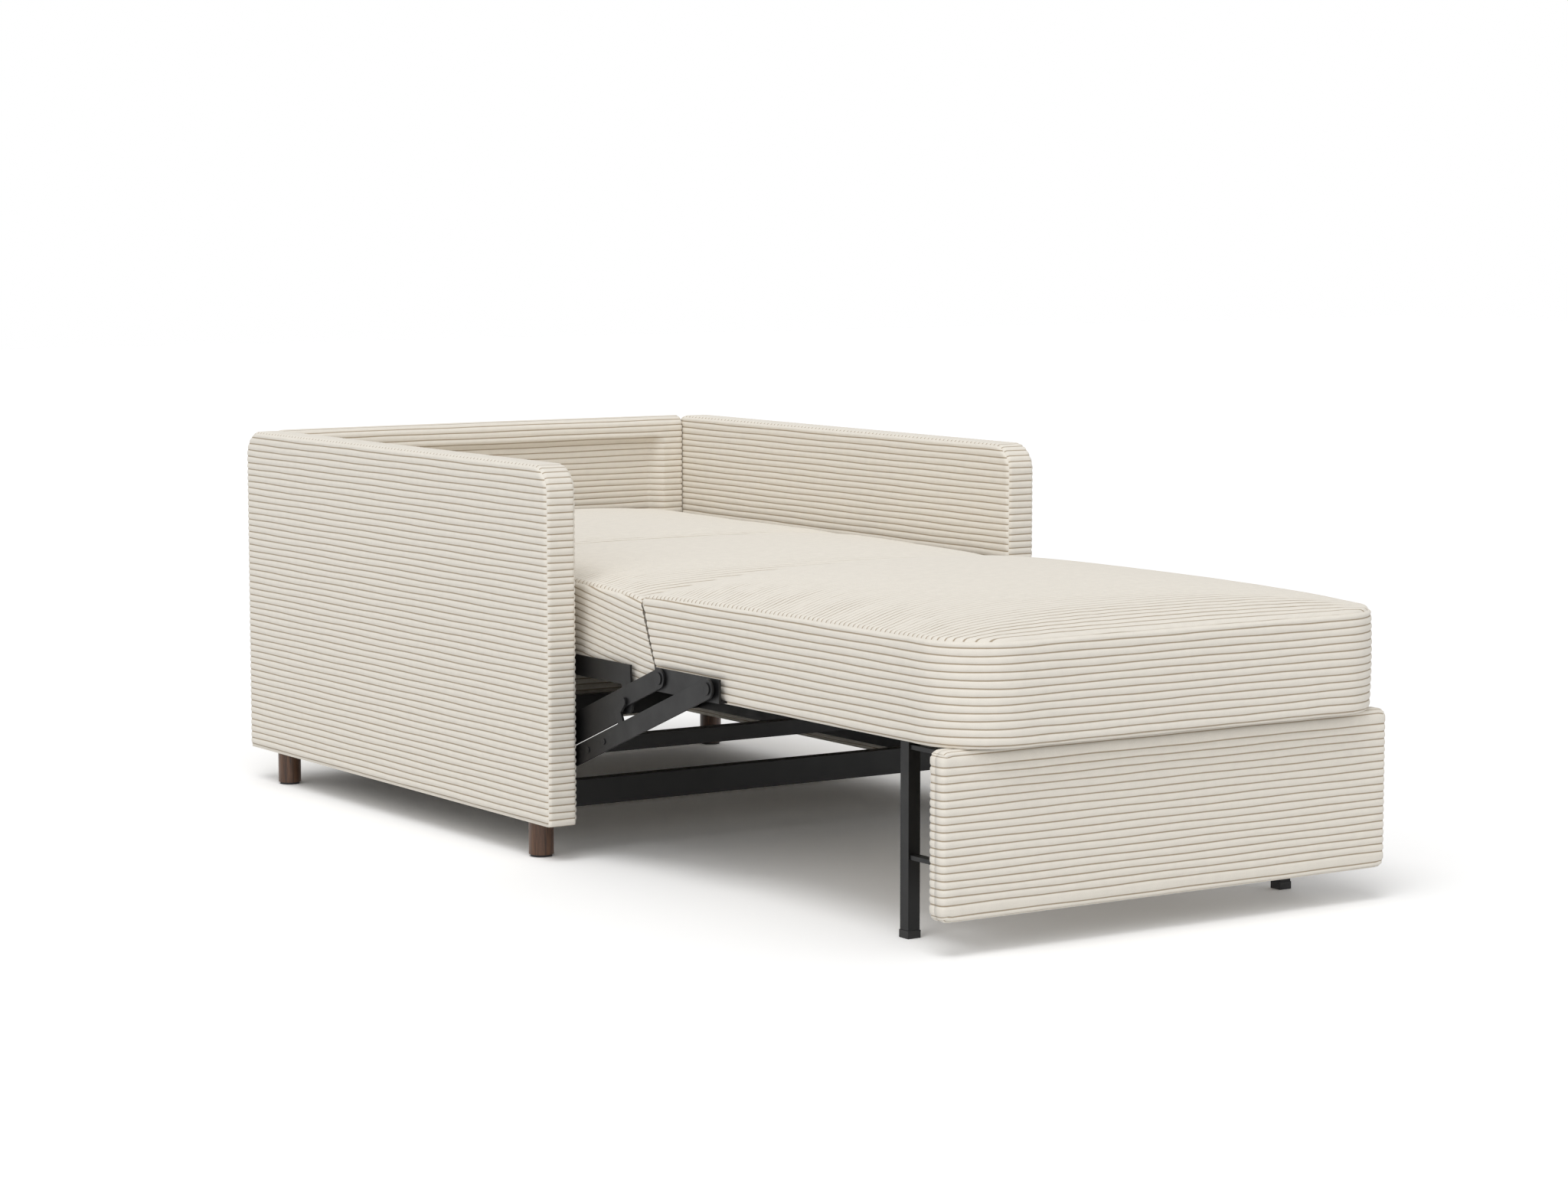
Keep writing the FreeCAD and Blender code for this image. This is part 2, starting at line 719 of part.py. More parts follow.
def build():
    parts = {}
    cover, board = arm_shapes()
    parts["arm_cover_left"] = cover
    parts["arm_cover_right"] = mirrored(cover)
    parts["arm_board_left"] = board
    parts["arm_board_right"] = mirrored(board)
    parts["back_cover"], parts["back_board"] = back_shapes()

    leg_x = half_width - leg_side_inset
    front_leg_y, rear_leg_y = leg_places()
    for end, y in (("front", front_leg_y), ("rear", rear_leg_y)):
        parts["wooden_leg_" + end + "_left"] = wooden_leg(-leg_x, y)
        parts["wooden_leg_" + end + "_right"] = wooden_leg(leg_x, y)
    corners = [(x, y) for x in (-leg_x, leg_x) for y in (front_leg_y, rear_leg_y)]
    parts["leg_glides"] = group([pin_z(x, y, 0, glide_height, glide_radius) for x, y in corners])
    parts["leg_bolts"] = group(
        [pin_z(x, y, leg_bolt_start, arm_clearance + leg_bolt_grip, leg_bolt_radius) for x, y in corners]
    )

    parts["base_side_rail_left"] = base_side_rail()
    parts["base_side_rail_right"] = mirrored(base_side_rail())
    parts["base_front_crossbar"] = base_crossbar(arm_front + front_rail_y)
    parts["base_rear_crossbar"] = base_crossbar(arm_front + rear_rail_y)
    parts["mechanism_plate_left"] = mechanism_plate()
    parts["mechanism_plate_right"] = mirrored(mechanism_plate())
    parts["head_pivot_bracket_left"] = head_pivot_bracket()
    parts["head_pivot_bracket_right"] = mirrored(head_pivot_bracket())

    head_y0, head_y1 = ridge_y + tube / 2, mattress_rear - tube * 2
    parts["head_mattress"] = head_mattress()
    parts["head_side_rail_left"] = side_rail(head_y0, head_y1)
    parts["head_side_rail_right"] = mirrored(side_rail(head_y0, head_y1))
    head_tubes = [ridge_y + tube, (head_y0 + head_y1) / 2, head_y1 - tube / 2]
    parts["head_cross_tubes"] = cross_tubes(head_tubes)
    parts["head_slats"] = slats(head_y0 + tube, head_y1)
    running_hole = rod_radius + running_clearance
    parts["head_ridge_lugs"] = ridge_lugs(inner_arm_near, inner_arm_far, 1, running_hole)
    parts["head_pivot_plate_left"] = head_pivot_plate()
    parts["head_pivot_plate_right"] = mirrored(head_pivot_plate())

    middle_y0, middle_y1 = middle_front_tube_y - tube / 2, ridge_y - tube / 2
    parts["middle_mattress"] = middle_mattress()
    parts["middle_side_rail_left"] = side_rail(middle_y0, middle_y1)
    parts["middle_side_rail_right"] = mirrored(side_rail(middle_y0, middle_y1))
    middle_tubes = [middle_front_tube_y, (middle_y0 + middle_y1) / 2, ridge_y - tube]
    parts["middle_cross_tubes"] = cross_tubes(middle_tubes)
    parts["middle_slats"] = slats(middle_y0 + tube, middle_y1 - tube)
    parts["middle_fold_arms"] = front_fold_arms(
        inner_arm_near, inner_arm_far, middle_front_tube_y, running_hole
    )
    parts["middle_ridge_rod"] = fold_rod((ridge_y, ridge_fold_z))
    parts["middle_ridge_lugs"] = ridge_lugs(arm_near, arm_far, -1, rod_radius)
    parts["middle_rail_left"] = middle_rail()
    parts["middle_rail_right"] = mirrored(middle_rail())

    seat_y0 = mattress_front + frame_front_inset
    seat_y1 = seat_rear_tube_y + tube / 2
    parts["seat_mattress"] = seat_mattress()
    parts["seat_side_rail_left"] = side_rail(seat_y0, seat_y1)
    parts["seat_side_rail_right"] = mirrored(side_rail(seat_y0, seat_y1))
    leg_tube_y = arm_front + steel_leg_y
    seat_tubes = [leg_tube_y, (leg_tube_y + seat_rear_tube_y) / 2, seat_rear_tube_y]
    parts["seat_cross_tubes"] = cross_tubes(seat_tubes)
    parts["seat_slats"] = slats(seat_y0, seat_rear_tube_y - tube)
    parts["seat_fold_rod"] = fold_rod((fold_y, front_fold_z))
    parts["seat_fold_arms"] = front_fold_arms(arm_near, arm_far, seat_rear_tube_y, rod_radius)
    parts["link_bracket_left"] = link_bracket().fuse(bracket_spacer()).removeSplitter()
    parts["link_bracket_right"] = mirrored(parts["link_bracket_left"])
    parts["front_panel_cover"], parts["front_panel_board"] = front_panel_shapes()
    parts["steel_leg_left"] = steel_leg_post()
    parts["steel_leg_right"] = mirrored(steel_leg_post())
    parts["steel_leg_caps"] = both_sides(steel_leg_cap())
    parts["panel_struts"] = panel_struts()

    bed_in(parts, "head")
    bed_in(parts, "middle")
    seat_fixings = ("link_bracket_left", "link_bracket_right", "steel_leg_left", "steel_leg_right")
    bed_in(parts, "seat", seat_fixings)

    parts["link_a_left"] = link_a()
    parts["link_a_right"] = mirrored(link_a())
    parts["link_a_rivets"] = link_a_rivets()
    parts["link_b_left"] = link_b()
    parts["link_b_right"] = mirrored(link_b())
    parts["link_b_tube"] = link_cross_tube()
    parts["link_b_rivets"] = link_b_rivets()
    return parts


def folded_angle():
    """Turn of the head section, in degrees, that brings the seat back by its travel."""
    half_base = (pivot_y - fold_y) / 2
    drop = front_fold_z - ridge_fold_z
    side = math.hypot(half_base, drop)
    start = math.asin(drop / side)
    end = math.acos((half_base - seat_travel / 2) / side)
    return math.degrees(start + end)


def link_swing():
    return 180 - 2 * math.degrees(math.atan2(link_rise, seat_travel / 2))


def main():
    os.makedirs("parts", exist_ok=True)
    parts = build()
    for name, shape in parts.items():
        if not shape.isValid():
            print("not valid:", name)
        shape.exportStep(os.path.join("parts", name + ".step"))
    print(len(parts), "pieces")
    print("head turn", round(folded_angle(), 3), "link swing", round(link_swing(), 3))
    print("ridge y", round(ridge_y, 3), "pivot y", pivot_y, "fold y", fold_y)
    print("link base pivots", pivot_a_base, pivot_b_base, "length", round(link_length, 2))


if __name__ == "__main__":
    main()
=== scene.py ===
import bpy
import json
import math
import numpy as np
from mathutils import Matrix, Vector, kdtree


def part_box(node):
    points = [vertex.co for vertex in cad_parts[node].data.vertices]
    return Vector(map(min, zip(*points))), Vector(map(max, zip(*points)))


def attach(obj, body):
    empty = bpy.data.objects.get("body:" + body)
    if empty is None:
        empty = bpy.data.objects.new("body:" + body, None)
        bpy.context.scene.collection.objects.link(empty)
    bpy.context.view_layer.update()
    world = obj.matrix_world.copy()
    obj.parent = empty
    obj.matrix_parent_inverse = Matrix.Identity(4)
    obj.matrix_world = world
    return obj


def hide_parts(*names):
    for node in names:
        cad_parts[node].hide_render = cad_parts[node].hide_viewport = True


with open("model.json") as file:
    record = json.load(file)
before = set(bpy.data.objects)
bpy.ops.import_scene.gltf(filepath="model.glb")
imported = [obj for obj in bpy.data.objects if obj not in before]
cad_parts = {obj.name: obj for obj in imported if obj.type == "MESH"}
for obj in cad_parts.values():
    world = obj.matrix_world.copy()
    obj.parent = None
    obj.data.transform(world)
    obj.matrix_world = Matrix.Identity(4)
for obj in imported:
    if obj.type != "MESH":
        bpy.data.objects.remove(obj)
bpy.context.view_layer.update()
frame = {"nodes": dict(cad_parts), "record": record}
print("frame loaded")

jointPlaces = {j["name"]: j["pos_m"] for j in frame["record"]["behaviour"]["joints"]}
foldY, foldZ = jointPlaces["seat_fold"][1], jointPlaces["seat_fold"][2]
ridgeY = jointPlaces["middle_fold"][1]
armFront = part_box("arm_cover_left")[0][1]
tiny = 1e-9
seamPlace = 1 - math.sqrt(0.5)    # share of a padded edge's radius at which two panels are sewn


# small helpers

def deselectAll():
    if bpy.context.object and bpy.context.object.mode != "OBJECT":
        bpy.ops.object.mode_set(mode="OBJECT")
    bpy.ops.object.select_all(action="DESELECT")


def pick(piece):
    deselectAll()
    piece.select_set(True)
    bpy.context.view_layer.objects.active = piece


def readPoints(mesh):
    flat = np.empty(len(mesh.vertices) * 3)
    mesh.vertices.foreach_get("co", flat)
    return flat.reshape(-1, 3)


def writePoints(mesh, points):
    mesh.vertices.foreach_set("co", np.ascontiguousarray(points, dtype=np.float64).ravel())
    mesh.update()


def readNormals(mesh):
    flat = np.empty(len(mesh.vertices) * 3)
    mesh.vertex_normals.foreach_get("vector", flat)
    return flat.reshape(-1, 3)


def selectEdges(piece, chosen):
    pick(piece)
    bpy.ops.object.mode_set(mode="EDIT")
    bpy.ops.mesh.select_mode(type="EDGE")
    bpy.ops.mesh.select_all(action="DESELECT")
    bpy.ops.object.mode_set(mode="OBJECT")
    points = readPoints(piece.data)
    for edge in piece.data.edges:
        a, b = edge.vertices
        edge.select = bool(chosen(points[a], points[b]))
    bpy.ops.object.mode_set(mode="EDIT")


def bevelEdges(piece, chosen, offset, segments):
    selectEdges(piece, chosen)
    bpy.ops.mesh.bevel(offset=offset, offset_type="OFFSET", segments=segments, affect="EDGES")
    bpy.ops.object.mode_set(mode="OBJECT")


def addBox(name, low, high):
    deselectAll()
    bpy.ops.mesh.primitive_cube_add(size=1, location=between(low, high))
    piece = bpy.context.object
    piece.name = name
    piece.scale = [b - a for a, b in zip(low, high)]
    bpy.ops.object.transform_apply(location=True, rotation=True, scale=True)
    return piece


def joinPieces(name, pieces):
    deselectAll()
    for piece in pieces:
        piece.select_set(True)
    bpy.context.view_layer.objects.active = pieces[0]
    bpy.ops.object.join()
    joined = bpy.context.object
    joined.name = name
    joined.data.name = name
    return joined


def smooth(low, high, value):
    t = np.clip((value - low) / (high - low), 0, 1)
    return t * t * (3 - 2 * t)


def fadeOut(distance, width):
    return np.exp(-distance / width)


def fadeIn(distance, width):
    return 1 - fadeOut(distance, width)


def between(low, high):
    return [(a + b) / 2 for a, b in zip(low, high)]


# materials

def hexColour(code):
    channels = [int(code[i:i + 2], 16) / 255 for i in (1, 3, 5)]
    linear = [c / 12.92 if c <= 0.04045 else ((c + 0.055) / 1.055) ** 2.4 for c in channels]
    return (*linear, 1.0)


def addNode(tree, kind, inputs=None, **settings):
    node = tree.nodes.new(kind)
    for key, value in settings.items():
        setattr(node, key, value)
    for key, value in (inputs or {}).items():
        if isinstance(value, bpy.types.NodeSocket):
            tree.links.new(value, node.inputs[key])
        else:
            node.inputs[key].default_value = value
    return node


def startMaterial(name):
    material = bpy.data.materials.new(name)
    material.use_nodes = True
    material.node_tree.nodes.clear()
    return material, material.node_tree


def endMaterial(tree, shader):
    addNode(tree, "ShaderNodeOutputMaterial", {"Surface": shader})


def multiply(tree, a, b):
    return addNode(tree, "ShaderNodeMath", {0: a, 1: b}, operation="MULTIPLY")


def larger(tree, a, b):
    return addNode(tree, "ShaderNodeMath", {0: a, 1: b}, operation="MAXIMUM")


def mixColours(tree, share, first, second):
    return addNode(tree, "ShaderNodeMix", {
        "Factor": share, "A": hexColour(first), "B": hexColour(second)}, data_type="RGBA")


corduroyLook = {
    "wale": "#efe9de",        # brushed top of a wale
    "groove": "#a5937a",      # ground weave between two wales, darkened further with painted shade
    "waleWidth": 0.0118,      # one wale and its groove
    "naps": 900,              # tufts to a metre, each about 1.1 mm
    "mottle": 60,             # soft clouds about 17 mm across
}


def makeCorduroy():
    # wide-wale cotton corduroy, cut pile: soft, no gloss, a little sheen at grazing angles; the grooves between
    # the wales carry painted shade
    material, tree = startMaterial("wideWaleCorduroy")
    uv = addNode(tree, "ShaderNodeUVMap", uv_map="wales")
    split = addNode(tree, "ShaderNodeSeparateXYZ", {"Vector": uv.outputs["UV"]})
    turn = multiply(tree, split.outputs["Y"], 2 * math.pi)
    wave = addNode(tree, "ShaderNodeMath", {0: turn.outputs[0]}, operation="COSINE")
    groove = addNode(tree, "ShaderNodeMapRange", {
        "Value": wave.outputs[0], "From Min": 0.72, "From Max": 1.0})
    metres = (1.0, corduroyLook["waleWidth"], 1.0)
    flat = addNode(tree, "ShaderNodeVectorMath", {0: uv.outputs["UV"], 1: metres}, operation="MULTIPLY")
    nap = addNode(tree, "ShaderNodeTexNoise", {
        "Vector": flat.outputs[0], "Scale": corduroyLook["naps"], "Detail": 3.0, "Roughness": 0.6})
    cloud = addNode(tree, "ShaderNodeTexNoise", {
        "Vector": flat.outputs[0], "Scale": corduroyLook["mottle"], "Detail": 2.0})
    ragged = addNode(tree, "ShaderNodeMapRange", {
        "Value": nap.outputs["Fac"], "From Min": 0.3, "From Max": 0.7, "To Min": 0.82, "To Max": 1.12})
    # the groove colour follows the grooves between the wales: painted shade there, over the ground weave's own
    # colour
    depth = multiply(tree, groove.outputs[0], ragged.outputs[0])
    grooveShadedColour = mixColours(tree, depth.outputs[0], corduroyLook["wale"], corduroyLook["groove"])
    tone = addNode(tree, "ShaderNodeMapRange", {
        "Value": nap.outputs["Fac"], "From Min": 0.25, "From Max": 0.75, "To Min": 0.94, "To Max": 1.04})
    drift = addNode(tree, "ShaderNodeMapRange", {
        "Value": cloud.outputs["Fac"], "From Min": 0.3, "From Max": 0.7, "To Min": 0.98, "To Max": 1.02})
    value = multiply(tree, tone.outputs[0], drift.outputs[0])
    colour = addNode(tree, "ShaderNodeHueSaturation", {
        "Color": grooveShadedColour.outputs["Result"], "Value": value.outputs[0]})
    relief = addNode(tree, "ShaderNodeBump", {
        "Height": nap.outputs["Fac"], "Strength": 0.35, "Distance": 0.0006})
    shader = addNode(tree, "ShaderNodeBsdfPrincipled", {
        "Base Color": colour.outputs["Color"], "Normal": relief.outputs["Normal"],
        "Roughness": 0.95, "Specular IOR Level": 0.2, "Sheen Weight": 0.12, "Sheen Roughness": 0.6})
    endMaterial(tree, shader.outputs["BSDF"])
    return material


steelLook = {
    "coat": "#0c0c0d",
    "peel": 1400,             # bumps of the orange peel to a metre
    "dust": 25.0,             # patches of handling dust, 40 mm across
    "edge": 0.0008,
}


def makeBlackSteel():
    # powder-coated mild steel: satin black, fine orange peel, edges softened by the coat
    material, tree = startMaterial("powderCoatedSteel")
    place = addNode(tree, "ShaderNodeTexCoord")
    peel = addNode(tree, "ShaderNodeTexNoise", {
        "Vector": place.outputs["Object"], "Scale": steelLook["peel"], "Detail": 1.0})
    dust = addNode(tree, "ShaderNodeTexNoise", {
        "Vector": place.outputs["Object"], "Scale": steelLook["dust"], "Detail": 3.0})
    rough = addNode(tree, "ShaderNodeMapRange", {
        "Value": dust.outputs["Fac"], "From Min": 0.3, "From Max": 0.7, "To Min": 0.38, "To Max": 0.5})
    rounding = addNode(tree, "ShaderNodeBevel", {"Radius": steelLook["edge"]}, samples=4)
    relief = addNode(tree, "ShaderNodeBump", {
        "Height": peel.outputs["Fac"], "Normal": rounding.outputs["Normal"],
        "Strength": 0.25, "Distance": 0.0002})
    shader = addNode(tree, "ShaderNodeBsdfPrincipled", {
        "Base Color": hexColour(steelLook["coat"]), "Roughness": rough.outputs[0],
        "Normal": relief.outputs["Normal"], "Specular IOR Level": 0.4})
    endMaterial(tree, shader.outputs["BSDF"])
    return material


woodLook = {
    "walnut": ("#2e1c12", "#6b4a33", 260, 0.35),   # dark line, light line, lines to a metre, roughness
    "beech": ("#a87d50", "#d8b486", 180, 0.5),
    "board": ("#8a6a45", "#b8946a", 120, 0.8),
}
grainStretch = 0.06           # lines along the grain, for each one across it


def makeWood(name, kind, along):
    # grain drawn as long thin noise streaks that run along one axis of the piece
    dark, light, lines, roughness = woodLook[kind]
    material, tree = startMaterial(name)
    place = addNode(tree, "ShaderNodeTexCoord")
    stretch = [1.0, 1.0, 1.0]
    stretch[along] = grainStretch
    mapped = addNode(tree, "ShaderNodeMapping", {"Vector": place.outputs["Object"], "Scale": stretch})
    grain = addNode(tree, "ShaderNodeTexNoise", {
        "Vector": mapped.outputs[0], "Scale": lines, "Detail": 5.0, "Roughness": 0.65})
    ramp = addNode(tree, "ShaderNodeMapRange", {
        "Value": grain.outputs["Fac"], "From Min": 0.32, "From Max": 0.68})
    colour = mixColours(tree, ramp.outputs[0], dark, light)
    relief = addNode(tree, "ShaderNodeBump", {
        "Height": grain.outputs["Fac"], "Strength": 0.15, "Distance": 0.0003})
    shader = addNode(tree, "ShaderNodeBsdfPrincipled", {
        "Base Color": colour.outputs["Result"], "Normal": relief.outputs["Normal"], "Roughness": roughness})
    endMaterial(tree, shader.outputs["BSDF"])
    return material


plasticGrain = 2200.0         # sparks to a metre in the mould


def makePlastic(name, code, roughness):
    # moulded polypropylene with a fine spark-eroded grain
    material, tree = startMaterial(name)
    place = addNode(tree, "ShaderNodeTexCoord")
    grain = addNode(tree, "ShaderNodeTexNoise", {"Vector": place.outputs["Object"], "Scale": plasticGrain})
    relief = addNode(tree, "ShaderNodeBump", {
        "Height": grain.outputs["Fac"], "Strength": 0.2, "Distance": 0.0002})
    shader = addNode(tree, "ShaderNodeBsdfPrincipled", {
        "Base Color": hexColour(code), "Roughness": roughness, "Normal": relief.outputs["Normal"]})
    endMaterial(tree, shader.outputs["BSDF"])
    return material


zincLook = {"coat": "#b9bcc0", "marks": 900.0}   # turning marks to a metre


def makeZinc():
    # zinc-plated bolt steel, turned
    material, tree = startMaterial("zincPlatedSteel")
    place = addNode(tree, "ShaderNodeTexCoord")
    marks = addNode(tree, "ShaderNodeTexNoise", {"Vector": place.outputs["Object"], "Scale": zincLook["marks"]})
    rough = addNode(tree, "ShaderNodeMapRange", {
        "Value": marks.outputs["Fac"], "To Min": 0.25, "To Max": 0.5})
    shader = addNode(tree, "ShaderNodeBsdfPrincipled", {
        "Base Color": hexColour(zincLook["coat"]), "Metallic": 1.0, "Roughness": rough.outputs[0]})
    endMaterial(tree, shader.outputs["BSDF"])
    return material


corduroy = makeCorduroy()
slotMaterials = {
    "corduroy": corduroy,
    "inner_board": makeWood("pineBoard", "board", 1),
    "walnut_leg": makeWood("stainedWalnut", "walnut", 2),
    "glide_plastic": makePlastic("glidePlastic", "#151515", 0.6),
    "bolt_steel": makeZinc(),
    "slat_wood": makeWood("beechSlat", "beech", 0),
    "cap_plastic": makePlastic("capPlastic", "#101011", 0.5),
    "black_steel": makeBlackSteel(),
}
for part in frame["record"]["subparts"]:
    node = frame["nodes"][part["node"]]
    node.data.materials.clear()
    node.data.materials.append(slotMaterials[part["material_slot"]])
print("materials made")


# corduroy sheets: a grid laid over a shape, with its wales raised, then given a thickness

cloth = {
    "wale": corduroyLook["waleWidth"],
    "relief": 0.0016,         # height of a wale over its groove
    "flatness": 5,            # how broad and flat a wale is beside its groove
    "thickness": 0.0024,
    "rows": 6,                # mesh rows over one wale
    "wander": 0.035,          # how far a wale drifts sideways, in wales
    "slowDrift": (19, 0.9),   # radians to a metre along a wale, and from one wale to the next
    "quickDrift": (47, 2.3, 0.6),    # the same, and its share of the slow one
    "fade": 0.004,            # width beside a seam over which a wale flattens out
    "sink": 0.001,            # the ground of the cloth lies this far under the face of the solid
    "seamDip": 0.0022,        # how far a seam sinks between two panels
    "seamWidth": 0.0020,
}


def edgeSteps(length, step, fine=(0.0, 0.001, 0.0022, 0.0038, 0.006, 0.009, 0.013)):
    # stations along a length, closer together at both ends, where the cloth turns into a seam
    near = list(fine)
    inner = length - 2 * near[-1]
    count = max(2, round(inner / step))
    middle = [near[-1] + inner * i / count for i in range(1, count)]
    return near + middle + [length - f for f in reversed(near)]


def waleHeight(across):
    return 1 - np.abs(np.cos(math.pi * across)) ** cloth["flatness"]


def edgeRoll(distance, radius):
    # how far a padded edge has turned away at this distance from its outline
    reach = np.clip(radius - distance, 0, radius)
    return radius - np.sqrt(radius * radius - reach * reach)


def seamDip(distance):
    return cloth["seamDip"] * np.exp(-np.maximum(distance, 0) / cloth["seamWidth"])


def wander(along, across):
    slow, slowStep = cloth["slowDrift"]
    quick, quickStep, share = cloth["quickDrift"]
    drift = np.sin(along * slow + across * slowStep) + share * np.sin(along * quick - across * quickStep)
    return cloth["wander"] * drift


def clothSheet(name, stations, wales, place, inside, rows=None, settle=None):
    # place(along, across) gives the points, the wale number there and how much of the wale is left
    deselectAll()
    rowCount = round(wales * (rows or cloth["rows"]))
    columns = len(stations) - 1
    bpy.ops.mesh.primitive_grid_add(x_subdivisions=columns, y_subdivisions=rowCount, size=1)
    sheet = bpy.context.object
    sheet.name = name
    mesh = sheet.data
    flat = readPoints(mesh)
    along = np.array(stations)[np.rint((flat[:, 0] + 0.5) * columns).astype(int)]
    across = (flat[:, 1] + 0.5) * wales
    points, phase, left = place(along, across)
    if settle:
        points = settle(points)
    writePoints(mesh, points)
    middles = np.array([p.center for p in mesh.polygons])
    outward = np.array([p.normal for p in mesh.polygons])
    if np.sum((middles - np.array(inside)) * outward) < 0:
        mesh.flip_normals()
    phase = phase + wander(along, across)
    lift = cloth["relief"] * left * waleHeight(phase)
    points = points + readNormals(mesh) * lift[:, None]
    writePoints(mesh, points)
    layer = mesh.uv_layers[0]
    layer.name = "wales"
    corners = np.empty(len(mesh.loops), dtype=np.int32)
    mesh.loops.foreach_get("vertex_index", corners)
    uv = np.stack([along[corners], phase[corners]], axis=1)
    layer.data.foreach_set("uv", uv.ravel())
    pick(sheet)
    skin = sheet.modifiers.new("skin", "SOLIDIFY")
    skin.thickness = cloth["thickness"]
    skin.offset = -1
    bpy.ops.object.modifier_apply(modifier=skin.name)
    bpy.ops.object.shade_smooth()
    return sheet


def plainWales(piece, phase=0.3):
    # the padding under the sheets shows only down in a seam, in the mid tone of the cloth
    mesh = piece.data
    layer = mesh.uv_layers[0] if mesh.uv_layers else mesh.uv_layers.new()
    layer.name = "wales"
    layer.data.foreach_set("uv", np.tile([0.0, phase], len(mesh.loops)))


def finishSoft(piece, body, node):
    piece.data.materials.clear()
    piece.data.materials.append(corduroy)
    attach(piece, body)
    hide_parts(node)


# the two arms: an outer panel, an inner panel and a gusset up the front, over the top and down the rear

armCover = {
    "corner": 0.046,          # round corner in the side view
    "edge": 0.009,            # padded edge beside a seam
    "belly": 0.0012,
    "step": 0.03,
    "gussetStep": 0.008,
    "coreGap": 0.004,
    "coreFoot": 0.0004,       # the padding closes the cover at the floor side
    "coreSegments": 8,
    "fill": 0.9,
}


def pillow(share):
    # flat in the middle and falling off beside both ends, for a share from 0 to 1
    return 1 - (2 * share - 1) ** 4


def outlineDistance(y, z, low, high, corner):
    # distance in from a side outline with two round top corners
    front, rear, bottom, top = low[1], high[1], low[2], high[2]
    side = np.minimum(y - front, rear - y)
    height = np.minimum(z - bottom, top - z)
    distance = np.minimum(side, height)
    inX = corner - side
    inZ = corner - (top - z)
    atCorner = (inX > 0) & (inZ > 0)
    return np.where(atCorner, corner - np.hypot(inX, inZ), distance)


def armPanel(name, side, face, outwards, low, high):
    edge = armCover["edge"]
    start = edge * seamPlace
    corner = armCover["corner"] - start
    length = high[1] - low[1] - 2 * start
    height = high[2] - low[2] - 2 * start
    wales = height / cloth["wale"]
    stations = edgeSteps(length, armCover["step"])

    def place(along, across):
        z = low[2] + start + height * across / wales
        over = np.clip(z - (high[2] - start - corner), 0, corner)
        cut = corner - np.sqrt(np.maximum(corner * corner - over * over, 0))
        y = low[1] + start + cut + (length - 2 * cut) * along / length
        inside = outlineDistance(y, z, low, high, armCover["corner"])
        depth = edgeRoll(inside, edge) + seamDip(inside - start)
        t = (y - low[1]) / (high[1] - low[1])
        s = (z - low[2]) / (high[2] - low[2])
        belly = armCover["belly"] * pillow(t) * pillow(s)
        x = side * (face + outwards * (belly - depth - cloth["sink"]))
        phase = (high[2] - z) / cloth["wale"]
        left = smooth(0, cloth["fade"], inside - start)
        return np.stack([x, y, z], axis=1), phase, left

    return clothSheet(name, stations, wales, place, between(low, high))


def pathOver(distance, low, high, corner):
    # front edge upwards, round the corner, along the top, round, and down the rear edge
    up = high[2] - low[2] - corner
    turn = corner * math.pi / 2
    top = high[1] - low[1] - 2 * corner
    marks = np.cumsum([up, turn, top, turn])
    y = np.full_like(distance, low[1])
    z = low[2] + distance
    ny = np.full_like(distance, -1.0)
    nz = np.zeros_like(distance)
    part = (distance >= marks[0]) & (distance < marks[1])
    angle = (distance[part] - marks[0]) / corner
    ny[part], nz[part] = -np.cos(angle), np.sin(angle)
    y[part] = low[1] + corner + corner * ny[part]
    z[part] = high[2] - corner + corner * nz[part]
    part = (distance >= marks[1]) & (distance < marks[2])
    y[part], z[part] = low[1] + corner + distance[part] - marks[1], high[2]
    ny[part], nz[part] = 0, 1
    part = (distance >= marks[2]) & (distance < marks[3])
    angle = (distance[part] - marks[2]) / corner
    ny[part], nz[part] = np.sin(angle), np.cos(angle)
    y[part] = high[1] - corner + corner * ny[part]
    z[part] = high[2] - corner + corner * nz[part]
    part = distance >= marks[3]
    y[part], z[part] = high[1], high[2] - corner - (distance[part] - marks[3])
    ny[part], nz[part] = 1, 0
    return y, z, ny, nz


def armGusset(name, side, low, high):
    edge = armCover["edge"]
    start = edge * seamPlace
    corner = armCover["corner"]
    total = 2 * (high[2] - low[2] - corner) + corner * math.pi + (high[1] - low[1] - 2 * corner)
    wales = total / cloth["wale"]
    inner = min(abs(low[0]), abs(high[0]))
    width = high[0] - low[0] - 2 * start
    stations = edgeSteps(width, armCover["gussetStep"])

    def place(along, across):
        y, z, ny, nz = pathOver(total * across / wales, low, high, corner)
        inside = start + np.minimum(along, width - along)
        depth = edgeRoll(inside, edge) + seamDip(inside - start) + cloth["sink"]
        x = side * (inner + start + along)
        y = y - ny * depth
        z = z - nz * depth
        left = smooth(0, cloth["fade"], inside - start)
        return np.stack([x, y, z], axis=1), across, left

    return clothSheet(name, stations, wales, place, between(low, high))


def makeArm(name, node, side):
    low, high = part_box(node)
    gap = armCover["coreGap"]
    coreLow = [low[0] + gap, low[1] + gap, low[2] - armCover["coreFoot"]]
    coreHigh = [high[0] - gap, high[1] - gap, high[2] - gap]
    core = addBox(name + "Core", coreLow, coreHigh)
    half = (low[2] + high[2]) / 2
    topCorners = lambda a, b: abs(a[0] - b[0]) > gap and min(a[2], b[2]) > half
    bevelEdges(core, topCorners, armCover["corner"] - gap, armCover["coreSegments"])
    plainWales(core)
    near, far = sorted((abs(low[0]), abs(high[0])))
    outer = armPanel(name + "Outer", side, far, 1, low, high)
    inner = armPanel(name + "Inner", side, near, -1, low, high)
    gusset = armGusset(name + "Gusset", side, low, high)
    arm = joinPieces(name, [core, outer, inner, gusset])
    finishSoft(arm, "base", node)


